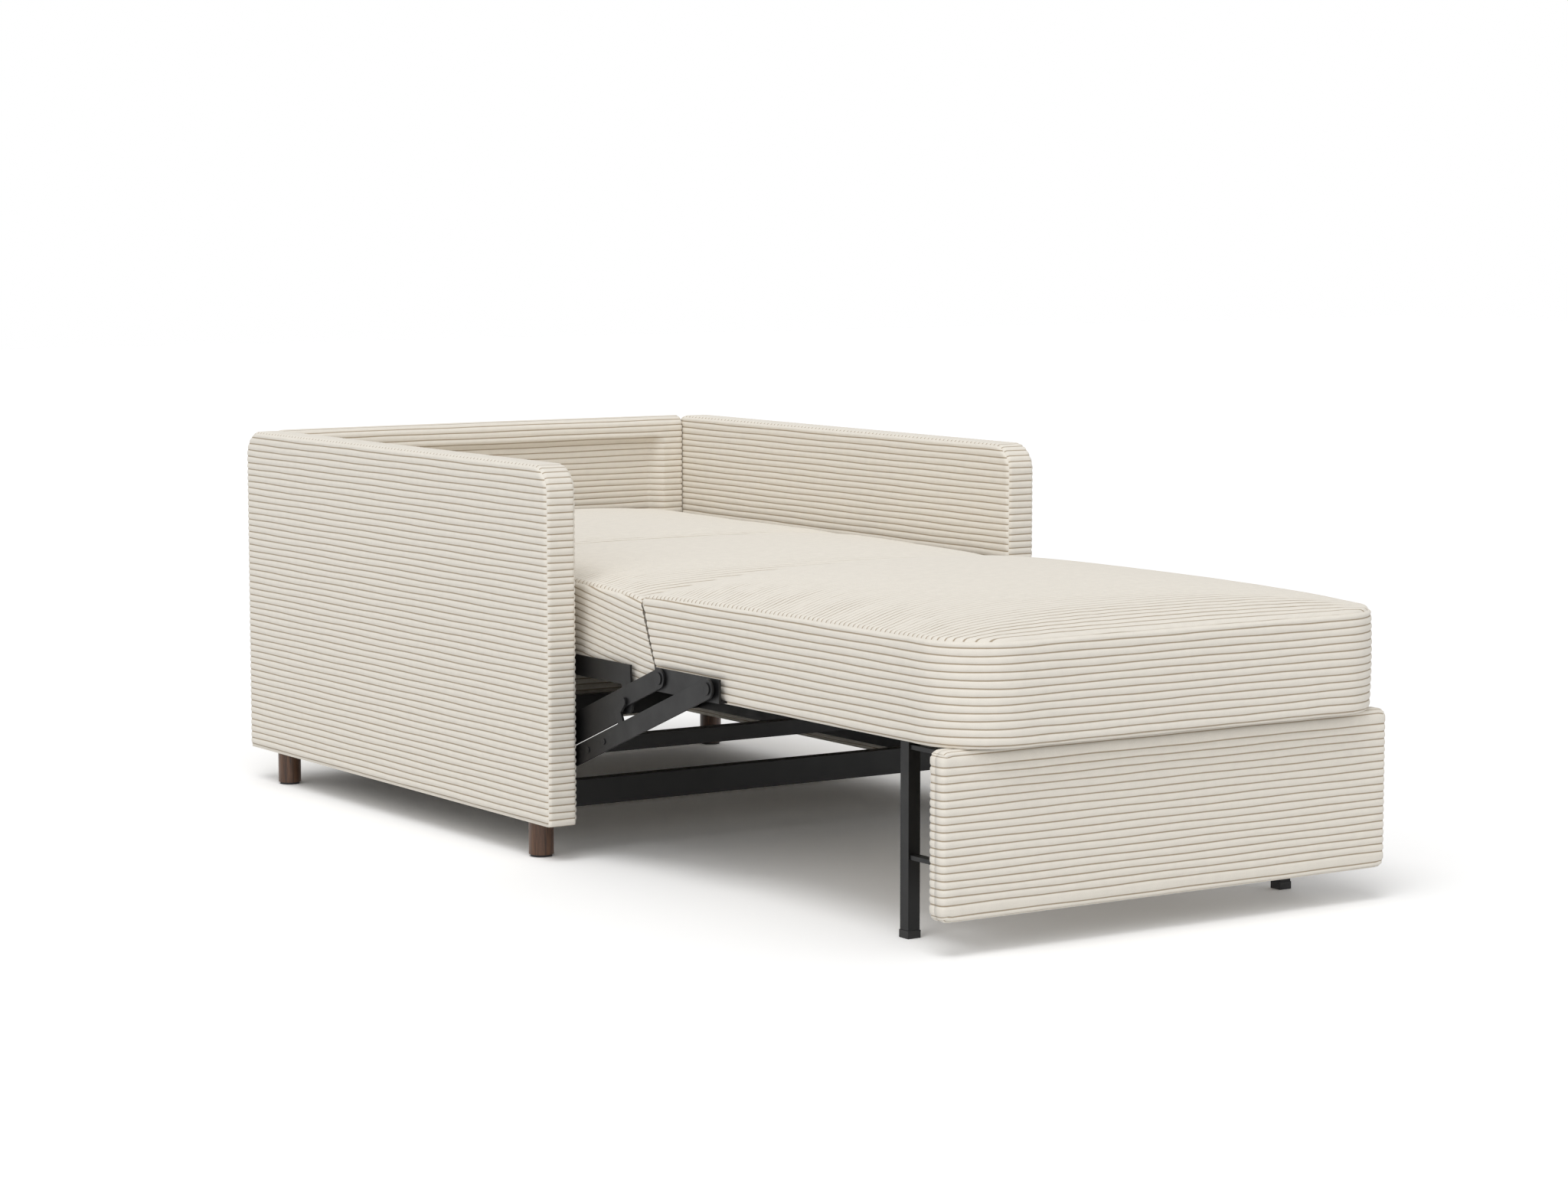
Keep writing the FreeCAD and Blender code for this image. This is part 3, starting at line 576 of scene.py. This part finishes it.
makeArm("armUpholsteryLeft", "arm_cover_left", -1)
makeArm("armUpholsteryRight", "arm_cover_right", 1)
print("arms covered")


# the back: one sheet up the front, over the top and down the rear, with the hollow for the folded bed

backCover = {
    "top": 0.0195,            # radius of the rounded top
    "hollowHalf": 0.387,
    "hollowLow": 0.340,
    "hollowHigh": 0.614,
    "hollowCorner": 0.012,
    "hollowDepth": 0.025,
    "lip": (-0.007, 0.013),   # the cloth turns into the hollow from here to here, about its outline
    "lipSteps": (0, 0.005, 0.01, 0.015, 0.02, 0.026, 0.032, 0.038, 0.043, 0.047),
    "hollowSteps": (0.003, 0.006, 0.009, 0.013, 0.018, 0.025),
    "step": 0.045,
    "crown": 0.0008,
    "endRoll": 0.006,
    "sink": 0.0012,
    "sideGap": 0.0006,
    "coreGap": 0.004,
    "coreSide": 0.001,
    "coreTop": 0.012,
    "footOverlap": 0.002,     # the padding below the hollow runs into the padding behind it
    "footBelow": 0.025,       # and ends this far below the hollow
    "fill": 0.9,
}


def hollowDepth(x, z):
    dx = backCover["hollowHalf"] - np.abs(x)
    dz = np.minimum(z - backCover["hollowLow"], backCover["hollowHigh"] - z)
    corner = backCover["hollowCorner"]
    rounded = corner - np.hypot(np.maximum(corner - dx, 0), np.maximum(corner - dz, 0))
    inside = np.where((dx < corner) & (dz < corner), rounded, np.minimum(dx, dz))
    return backCover["hollowDepth"] * smooth(*backCover["lip"], inside)


def makeBack():
    low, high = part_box("back_cover")
    radius = backCover["top"]
    half = high[0] - backCover["sideGap"]
    rise = high[2] - low[2] - radius
    total = 2 * rise + radius * math.pi + high[1] - low[1] - 2 * radius
    wales = total / cloth["wale"]
    side = half - backCover["hollowHalf"]
    post = [s for s in backCover["lipSteps"] if s < side]
    hollow = edgeSteps(2 * backCover["hollowHalf"], backCover["step"], backCover["hollowSteps"])
    stations = post + [side + s for s in hollow] + [2 * half - s for s in reversed(post)]

    def place(along, across):
        distance = total * across / wales
        x = along - half
        y, z, ny, nz = pathOver(distance, low, high, radius)
        depth = np.where(distance < rise, hollowDepth(x, z), 0)
        crown = backCover["crown"] * (1 - (x / half) ** 2)
        under = backCover["sink"] + edgeRoll(half - np.abs(x), backCover["endRoll"]) - crown
        y = y - ny * (depth + under)
        z = z - nz * under
        return np.stack([x, y, z], axis=1), across, np.ones_like(x)

    sheet = clothSheet("backSheet", stations, wales, place, between(low, high))
    aside, gap = backCover["coreSide"], backCover["coreGap"]
    left, right = low[0] + aside, high[0] - aside
    bottom = low[2] - armCover["coreFoot"]
    deep = low[1] + backCover["hollowDepth"] + gap
    core = addBox("backCore", (left, deep, bottom), (right, high[1] - gap, high[2] - backCover["coreTop"]))
    footTop = backCover["hollowLow"] - backCover["footBelow"]
    foot = addBox("backFoot", (left, low[1] + gap, bottom), (right, deep + backCover["footOverlap"], footTop))
    plainWales(core)
    plainWales(foot)
    back = joinPieces("backUpholstery", [core, foot, sheet])
    finishSoft(back, "base", "back_cover")


makeBack()
print("back covered")


# the padding of a cushion, swollen by a short cloth simulation

padding = {
    "voxel": 0.011,
    "pressure": 4.0,
    "frames": 20,
    "quality": 4,
    "mass": 0.3,
    "stiffness": 15,
    "most": 0.006,            # cap on how far the filling may push the cloth
    "inset": 0.0036,
    "cuts": 60,
    "edge": 0.010,
    "neighbours": 4,          # places on the padding that a point of the cloth follows
    "blend": 0.002,
}


def swell(core):
    # returns the places before and after the filling has pushed the cover out
    pick(core)
    remesh = core.modifiers.new("remesh", "REMESH")
    remesh.mode = "VOXEL"
    remesh.voxel_size = padding["voxel"]
    bpy.ops.object.modifier_apply(modifier=remesh.name)
    before = readPoints(core.data)
    puff = core.modifiers.new("puff", "CLOTH")
    puff.settings.quality = padding["quality"]
    puff.settings.mass = padding["mass"]
    puff.settings.tension_stiffness = padding["stiffness"]
    puff.settings.compression_stiffness = padding["stiffness"]
    puff.settings.use_pressure = True
    puff.settings.uniform_pressure_force = padding["pressure"]
    puff.settings.effector_weights.gravity = 0
    puff.collision_settings.use_collision = False
    puff.point_cache.frame_start = 1
    puff.point_cache.frame_end = padding["frames"]
    scene = bpy.context.scene
    for step in range(1, padding["frames"] + 1):
        scene.frame_set(step)
    shaped = core.evaluated_get(bpy.context.evaluated_depsgraph_get())
    after = readPoints(shaped.data)
    core.modifiers.remove(puff)
    scene.frame_set(1)
    moved = after - before
    far = np.linalg.norm(moved, axis=1, keepdims=True)
    moved *= np.minimum(1, padding["most"] / np.maximum(far, tiny))
    after = before + moved
    writePoints(core.data, after)
    return before, after


def follower(before, after, widest):
    # moves the cloth as the padding under it moved, and keeps it clear of the steel beside it
    tree = kdtree.KDTree(len(before))
    for i, point in enumerate(before):
        tree.insert(point, i)
    tree.balance()
    moved = after - before

    def settle(points):
        points = points.copy()
        for i, point in enumerate(points):
            near = tree.find_n(point, padding["neighbours"])
            weights = np.array([1 / (found[2] + padding["blend"]) for found in near])
            shift = sum(w * moved[found[1]] for w, found in zip(weights, near)) / weights.sum()
            points[i] = point + shift
        points[:, 0] = np.clip(points[:, 0], -widest, widest)
        return points

    return settle


# the three mattress sections

mattress = {
    "half": 0.420,
    "widest": 0.4232,         # as wide as the gap between the links allows
    "low": 0.3055,
    "edge": 0.0085,           # padded edge beside the top seam
    "hem": 0.006,             # turn at the lower edge
    "underlap": 0.011,        # cloth turned in under the frame
    "crown": 0.021,
    "seatCrown": 0.038,
    "corner": 0.105,          # plan corners at the foot end
    "slant": 0.41,            # run of the fold line for each metre up
    "foldHeight": 0.447,      # height at which the ends of the sections are stated
    "foldGap": 0.0006,
    "ridgeGap": 0.0008,
    "crownPower": 2.8,
    "seamHeight": 0.462,
    "waleTop": 0.4625,        # height at which a wale of the border ends
    "bulge": 0.0022,
    "borderRows": 8,
    "endFade": 0.001,
    "fill": 0.75,
    "coreLow": 0.337,
    "step": 0.0185,
    "sideStep": 0.022,
}


def foldLine(z):
    return foldY + mattress["slant"] * (z - foldZ)


def crossCrown(x, height):
    return height * (1 - np.abs(x / mattress["half"]) ** mattress["crownPower"])


foldPlace = foldLine(mattress["foldHeight"])
seat = {
    "name": "seatCushion", "node": "seat_mattress", "body": "seat_section",
    "front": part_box("seat_mattress")[0][1], "rear": foldPlace - mattress["foldGap"],
    "corner": mattress["corner"],
    "seam": 0.4625,                 # height of the top seam, away from the fold line
    "edgeDrop": (0.009, 0.25),      # how far it drops towards the fold line, and over which length
    "foldFlat": (0.5, 0.05),        # share of the dome lost at the fold line, and over which length
    "footRise": 0.11,               # length over which the dome rises from the foot end
    "sideRise": 0.012,
    "foldRoll": 0.014,
}
middle = {
    "name": "middleCushion", "node": "middle_mattress", "body": "middle_section",
    "front": foldPlace + mattress["foldGap"], "rear": ridgeY - mattress["ridgeGap"],
    "corner": 0.0,
    "edgeDrop": (0.0145, 0.12),
    "foldRise": 0.055,
    "foldRoll": 0.012,
    "ridgeDip": (0.004, 0.012),     # fine crease at the ridge
    "ridgeRoll": 0.006,
}
head = {
    "name": "headCushion", "node": "head_mattress", "body": "head_section",
    "front": ridgeY + mattress["ridgeGap"], "rear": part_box("head_mattress")[1][1],
    "corner": 0.0,
    "ridgeDip": (0.004, 0.012),
    "ridgeRoll": 0.006,
    "headRoll": 0.02,
}


def seatEdge(y):
    drop, length = seat["edgeDrop"]
    return seat["seam"] - drop * fadeOut(seat["rear"] - y, length)


def middleEdge(y):
    drop, length = middle["edgeDrop"]
    return mattress["seamHeight"] - drop * fadeOut(y - middle["front"], length)


def headEdge(y):
    return np.full_like(y, mattress["seamHeight"])


def seatTop(x, y):
    near = np.maximum(seat["rear"] - y, 0)
    foot = np.maximum(y - seat["front"], 0)
    inside = np.maximum(planDistance(x, y, seat), 0)
    lost, length = seat["foldFlat"]
    rise = 1 - lost * fadeOut(near, length)
    rise = rise * fadeIn(foot, seat["footRise"]) * fadeIn(inside, seat["sideRise"])
    return seatEdge(y) + crossCrown(x, mattress["seatCrown"]) * rise - edgeRoll(near, seat["foldRoll"])


def middleTop(x, y):
    near = np.maximum(y - middle["front"], 0)
    far = np.maximum(middle["rear"] - y, 0)
    dome = crossCrown(x, mattress["crown"]) * fadeIn(near, middle["foldRise"])
    dip, width = middle["ridgeDip"]
    ends = edgeRoll(near, middle["foldRoll"]) + dip * fadeOut(far, width) + edgeRoll(far, middle["ridgeRoll"])
    return middleEdge(y) + dome - ends


def headTop(x, y):
    near = np.maximum(y - head["front"], 0)
    far = np.maximum(head["rear"] - y, 0)
    dip, width = head["ridgeDip"]
    ends = dip * fadeOut(near, width) + edgeRoll(near, head["ridgeRoll"]) + edgeRoll(far, head["headRoll"])
    return headEdge(y) + crossCrown(x, mattress["crown"]) - ends


def planDistance(x, y, section):
    # distance in from the sides, and for the seat from its rounded foot end too
    half = mattress["half"]
    side = half - np.abs(x)
    corner = section["corner"]
    if not corner:
        return side
    foot = y - section["front"]
    inX = corner - side
    inY = corner - foot
    atCorner = (inX > 0) & (inY > 0)
    return np.where(atCorner, corner - np.hypot(inX, inY), np.minimum(side, foot))


def lean(y, z, section):
    # shifts points along the bed so that the end faces follow the slanted fold line
    shift = foldLine(z) - foldPlace
    if section is seat:
        base = section["front"] + section["corner"]
        return y + np.clip((y - base) / (section["rear"] - base), 0, 1) * shift
    if section is middle:
        return y + np.clip((section["rear"] - y) / (section["rear"] - section["front"]), 0, 1) * shift
    return y


def makeCore(section, top):
    inset = padding["inset"]
    core = addBox(section["name"] + "Core", (-1, 0, 0), (1, 1, 1))
    pick(core)
    bpy.ops.object.mode_set(mode="EDIT")
    bpy.ops.mesh.select_all(action="SELECT")
    bpy.ops.mesh.subdivide(number_cuts=padding["cuts"])
    bpy.ops.object.mode_set(mode="OBJECT")
    unit = readPoints(core.data)
    half = mattress["half"] - inset
    x = unit[:, 0] * half
    front = section["front"] + inset
    rear = section["rear"] - inset
    y = front + unit[:, 1] * (rear - front)
    corner = max(section["corner"] - inset, 0)
    if corner:
        inX = np.abs(x) - (half - corner)
        inY = (front + corner) - y
        part = (inX > 0) & (inY > 0)
        reach = np.maximum(inX, inY) / np.maximum(np.hypot(inX, inY), tiny)
        x = np.where(part, np.sign(x) * (half - corner + inX * reach), x)
        y = np.where(part, front + corner - inY * reach, y)
    plan = planDistance(x, y, section)
    high = top(x, y) - edgeRoll(np.maximum(plan - inset, 0), padding["edge"]) - inset
    z = mattress["coreLow"] + unit[:, 2] * (high - mattress["coreLow"])
    y = lean(y, z, section)
    writePoints(core.data, np.stack([x, y, z], axis=1))
    return core


def topSheet(section, top, settle):
    edge = mattress["edge"]
    start = edge * seamPlace
    corner = max(section["corner"] - start, 0)
    half = mattress["half"] - start
    front = section["front"] + (start if section["corner"] else 0.0)
    length = section["rear"] - front
    wales = length / cloth["wale"]
    stations = edgeSteps(2 * half, mattress["step"])

    def place(along, across):
        y = front + length * across / wales
        t = (along - half) / half
        reach = np.clip(front + corner - y, 0, corner)
        width = half - corner + np.sqrt(np.maximum(corner * corner - reach * reach, 0))
        x = t * width
        plan = planDistance(x, y, section)
        z = top(x, y) - edgeRoll(plan, edge) - seamDip(plan - start)
        left = smooth(0, cloth["fade"], plan - start)
        left = left * smooth(-mattress["endFade"], cloth["fade"], section["rear"] - y)
        return np.stack([x, lean(y, z, section), z], axis=1), (y - section["rear"]) / cloth["wale"], left

    inside = (0, (section["front"] + section["rear"]) / 2, 0)
    return clothSheet(section["name"] + "Top", stations, wales, place, inside, settle=settle)


def wallProfile(distance, drop, edge, start):
    # down the side, round the hem and in under the frame: offset outwards and drop from the top edge
    hem = mattress["hem"]
    turn = hem * math.pi / 2
    down = drop - start - hem
    height = np.where(distance < down, start + distance, 0.0)
    offset = np.zeros_like(distance)
    angle = np.clip((distance - down) / hem, 0, math.pi / 2)
    onHem = (distance >= down) & (distance < down + turn)
    height = np.where(onHem, start + down + hem * np.sin(angle), height)
    offset = np.where(onHem, -hem * (1 - np.cos(angle)), offset)
    under = distance >= down + turn
    height = np.where(under, drop, height)
    offset = np.where(under, -hem - (distance - down - turn), offset)
    return offset - edgeRoll(height, edge), height


def borderSheet(name, section, edgeHeight, stations, planPath, tilt, inside, settle):
    edge = mattress["edge"]
    start = edge * seamPlace
    hidden = mattress["hem"] * (math.pi / 2 - 1) + mattress["underlap"] - start
    wales = (mattress["seamHeight"] - mattress["low"] + hidden) / cloth["wale"]

    def place(along, across):
        x, y, nx, ny = planPath(along)
        topZ = edgeHeight(y)
        drop = topZ - mattress["low"]
        full = drop + hidden
        distance = full * across / wales
        offset, height = wallProfile(distance, drop, edge, start)
        z = topZ - height
        share = np.clip(height / drop, 0, 1)
        bulge = mattress["bulge"] * 4 * share * (1 - share)
        offset = offset + bulge - seamDip(height - start)
        yy = lean(y, z, section)
        below = np.maximum(distance - (full - mattress["underlap"]), 0)
        phase = (mattress["waleTop"] + tilt(y) - z + below) / cloth["wale"]
        left = smooth(0, cloth["fade"], height - start)
        return np.stack([x + nx * offset, yy + ny * offset, z], axis=1), phase, left

    return clothSheet(name, stations, wales, place, inside, rows=mattress["borderRows"], settle=settle)


def pathRound(section):
    # down the left side, round the foot of the bed and back up the right side
    half, corner, front = mattress["half"], section["corner"], section["front"]
    side = section["rear"] - front - corner
    turn = corner * math.pi / 2
    marks = np.cumsum([side, turn, 2 * (half - corner), turn, side])

    def around(a):
        x = np.full_like(a, -half)
        y = section["rear"] - a
        nx = np.full_like(a, -1.0)
        ny = np.zeros_like(a)
        part = (a >= marks[0]) & (a < marks[1])
        angle = (a[part] - marks[0]) / corner
        nx[part], ny[part] = -np.cos(angle), -np.sin(angle)
        x[part] = -half + corner + corner * nx[part]
        y[part] = front + corner + corner * ny[part]
        part = (a >= marks[1]) & (a < marks[2])
        x[part], y[part] = -half + corner + a[part] - marks[1], front
        nx[part], ny[part] = 0, -1
        part = (a >= marks[2]) & (a < marks[3])
        angle = (a[part] - marks[2]) / corner
        nx[part], ny[part] = np.sin(angle), -np.cos(angle)
        x[part] = half - corner + corner * nx[part]
        y[part] = front + corner + corner * ny[part]
        part = a >= marks[3]
        x[part], y[part] = half, front + corner + a[part] - marks[3]
        nx[part], ny[part] = 1, 0
        return x, y, nx, ny

    return around, float(marks[-1])


def pathStraight(section, side):
    def straight(a):
        x = np.full_like(a, side * mattress["half"])
        return x, section["front"] + a, np.full_like(a, side), np.zeros_like(a)

    return straight, section["rear"] - section["front"]


def makeSection(section, top, edgeHeight, tilt):
    core = makeCore(section, top)
    before, after = swell(core)
    settle = follower(before, after, mattress["widest"])
    plainWales(core)
    pick(core)
    bpy.ops.object.shade_smooth()
    pieces = [core, topSheet(section, top, settle)]
    borders = [("BorderLeft", pathStraight(section, -1)), ("BorderRight", pathStraight(section, 1))]
    step = mattress["sideStep"]
    if section["corner"]:
        borders = [("Border", pathRound(section))]
        step = mattress["step"]
    inside = (0, (section["front"] + section["rear"]) / 2, (mattress["low"] + mattress["seamHeight"]) / 2)
    for ending, (path, length) in borders:
        name = section["name"] + ending
        stations = edgeSteps(length, step)
        pieces.append(borderSheet(name, section, edgeHeight, stations, path, tilt, inside, settle))
    cushion = joinPieces(section["name"], pieces)
    finishSoft(cushion, section["body"], section["node"])


# the wales of the middle border fall towards the fold line, and run level behind this place
borderTilt = {"start": armFront + 0.06, "slope": 0.15}


def noTilt(y):
    return np.zeros_like(y)


def middleTilt(y):
    return -borderTilt["slope"] * np.maximum(borderTilt["start"] - y, 0)


makeSection(seat, seatTop, seatEdge, noTilt)
print("seat cushion made")
makeSection(middle, middleTop, middleEdge, middleTilt)
print("middle cushion made")
makeSection(head, headTop, headEdge, noTilt)
print("head cushion made")


# the padded front panel, two sheets that meet round its rim

frontPanel = {
    "rim": 0.0178,            # half the thickness: the front and rear sheets meet on the rim
    "square": 4.4,            # how square the rim is, 2 would be a half circle
    "corner": 0.014,
    "step": 0.03,
    "rimSteps": 8,
    "besideRim": (0.006, 0.014),
    "belly": 0.0015,
    "sink": 0.0012,
    "fade": (0.002, 0.003),   # wales start this far outside the rim and are whole this far in
    "boardPad": 0.006,
    "fill": 0.85,
}


def panelSheet(name, low, high, facing):
    rim = frontPanel["rim"]
    square = frontPanel["square"]
    corner = frontPanel["corner"]
    quarter = rim * math.pi / 2
    width = high[0] - low[0]
    height = high[2] - low[2]
    flatWidth = width - 2 * rim + 2 * quarter
    flatHeight = height - 2 * rim + 2 * quarter
    wales = flatHeight / cloth["wale"]
    count = frontPanel["rimSteps"]
    fine = [quarter * i / count for i in range(count + 1)] + [quarter + s for s in frontPanel["besideRim"]]
    stations = edgeSteps(flatWidth, frontPanel["step"], fine)

    def fold(s, whole):
        # distance in from the rim for a distance along the rolled cloth
        t = np.minimum(s, whole - s)
        turned = np.cos(np.clip(t, 0, quarter) / rim) ** (2 / square)
        return np.where(t < quarter, rim * (1 - turned), t - quarter + rim)

    def place(along, across):
        up = flatHeight * across / wales
        px = fold(along, flatWidth)
        pz = fold(up, flatHeight)
        dx = np.maximum(corner - px, 0)
        dz = np.maximum(corner - pz, 0)
        both = (dx > 0) & (dz > 0)
        shrink = np.maximum(dx, dz) / np.maximum(np.hypot(dx, dz), tiny)
        px = np.where(both, corner - dx * shrink, px)
        pz = np.where(both, corner - dz * shrink, pz)
        distance = np.where(both, corner - np.maximum(dx, dz), np.minimum(px, pz))
        x = np.where(along < flatWidth / 2, low[0] + px, high[0] - px)
        z = np.where(up < flatHeight / 2, low[2] + pz, high[2] - pz)
        tx = (x - low[0]) / width
        tz = (z - low[2]) / height
        belly = frontPanel["belly"] * (pillow(tx) * pillow(tz) - 0.5)
        inward = np.clip(1 - distance / rim, 0, 1)
        depth = rim - rim * (1 - inward ** square) ** (1 / square)
        if facing < 0:
            y = low[1] + frontPanel["sink"] + depth - belly
        else:
            y = high[1] - frontPanel["sink"] - depth
        outside, whole = frontPanel["fade"]
        left = smooth(0, whole, distance + outside)
        return np.stack([x, y, z], axis=1), across, left

    return clothSheet(name, stations, wales, place, between(low, high))


def makeFrontPanel():
    low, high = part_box("front_panel_board")
    pad = frontPanel["boardPad"]
    core = addBox("frontPanelCore", [v - pad for v in low], [v + pad for v in high])
    plainWales(core)
    low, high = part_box("front_panel_cover")
    pieces = [core, panelSheet("frontPanelFace", low, high, -1), panelSheet("frontPanelRear", low, high, 1)]
    panel = joinPieces("frontPanelUpholstery", pieces)
    finishSoft(panel, "seat_section", "front_panel_cover")


makeFrontPanel()
print("front panel covered")


# floor, light and camera

studio = {
    "floorSize": 40,
    "floorGrey": 0.78,        # as the bed sees it
    "floorWhite": 1.22,       # as the camera sees it
    "ambient": 0.53,
    "key": 0.82,
    "keyAngle": 30,           # degrees across the lamp, for soft shadows
    "keyFrom": (-0.35, -0.25, 1.0),
    "fill": 0.92,
    "fillAngle": 80,
    "fillFrom": (-0.6, -0.7, 0.35),
    "lampPlace": (-2, -2, 5),
}


def seenDirectly(tree):
    # 1 for rays from the camera and for mirror reflections, 0 for the light that falls on the bed
    path = addNode(tree, "ShaderNodeLightPath")
    return path, larger(tree, path.outputs["Is Camera Ray"], path.outputs["Is Glossy Ray"])


def mixShaders(tree, share, first, second):
    return addNode(tree, "ShaderNodeMixShader", {0: share, 1: first, 2: second}).outputs[0]


def makeFloor():
    deselectAll()
    bpy.ops.mesh.primitive_plane_add(size=studio["floorSize"], location=(0, 0, 0))
    floor = bpy.context.object
    floor.name = "floor"
    material, tree = startMaterial("paleFloor")
    seen = seenDirectly(tree)[1]
    plain = addNode(tree, "ShaderNodeBsdfDiffuse", {"Color": (*[studio["floorGrey"]] * 3, 1)})
    bright = addNode(tree, "ShaderNodeBsdfDiffuse", {"Color": (*[studio["floorWhite"]] * 3, 1)})
    endMaterial(tree, mixShaders(tree, seen.outputs[0], plain.outputs[0], bright.outputs[0]))
    floor.data.materials.append(material)


def makeLight():
    world = bpy.data.worlds.new("studio")
    world.use_nodes = True
    tree = world.node_tree
    tree.nodes.clear()
    path, seen = seenDirectly(tree)
    seen = larger(tree, seen.outputs[0], path.outputs["Is Transmission Ray"])
    dim = addNode(tree, "ShaderNodeBackground", {"Color": (1, 1, 1, 1), "Strength": studio["ambient"]})
    white = addNode(tree, "ShaderNodeBackground", {"Color": (1, 1, 1, 1), "Strength": 1.0})
    surface = mixShaders(tree, seen.outputs[0], dim.outputs[0], white.outputs[0])
    addNode(tree, "ShaderNodeOutputWorld", {"Surface": surface})
    bpy.context.scene.world = world
    addSun("keyLamp", studio["key"], studio["keyAngle"], studio["keyFrom"])
    addSun("fillLamp", studio["fill"], studio["fillAngle"], studio["fillFrom"])


def addSun(name, strength, angle, comesFrom):
    deselectAll()
    bpy.ops.object.light_add(type="SUN", location=studio["lampPlace"])
    sun = bpy.context.object
    sun.name = name
    sun.data.energy = strength
    sun.data.angle = math.radians(angle)
    x, y, z = comesFrom
    sun.rotation_euler = (math.atan2(math.hypot(x, y), z), 0, math.atan2(y, x) + math.pi / 2)


cameraView = {
    "place": (-3.58786, armFront - 5.3426, 1.09776),
    "turn": -33.63,
    "tilt": 6.07,             # degrees below level
    "lens": 87.07,
    "sensor": 36.0,
}


def makeCamera():
    deselectAll()
    bpy.ops.object.camera_add(location=cameraView["place"])
    camera = bpy.context.object
    camera.rotation_euler = (math.radians(90 - cameraView["tilt"]), 0, math.radians(cameraView["turn"]))
    camera.data.lens = cameraView["lens"]
    camera.data.sensor_width = cameraView["sensor"]
    bpy.context.scene.camera = camera


makeFloor()
makeLight()
makeCamera()
bpy.context.scene.view_settings.view_transform = "Standard"
print("floor, light and camera set")
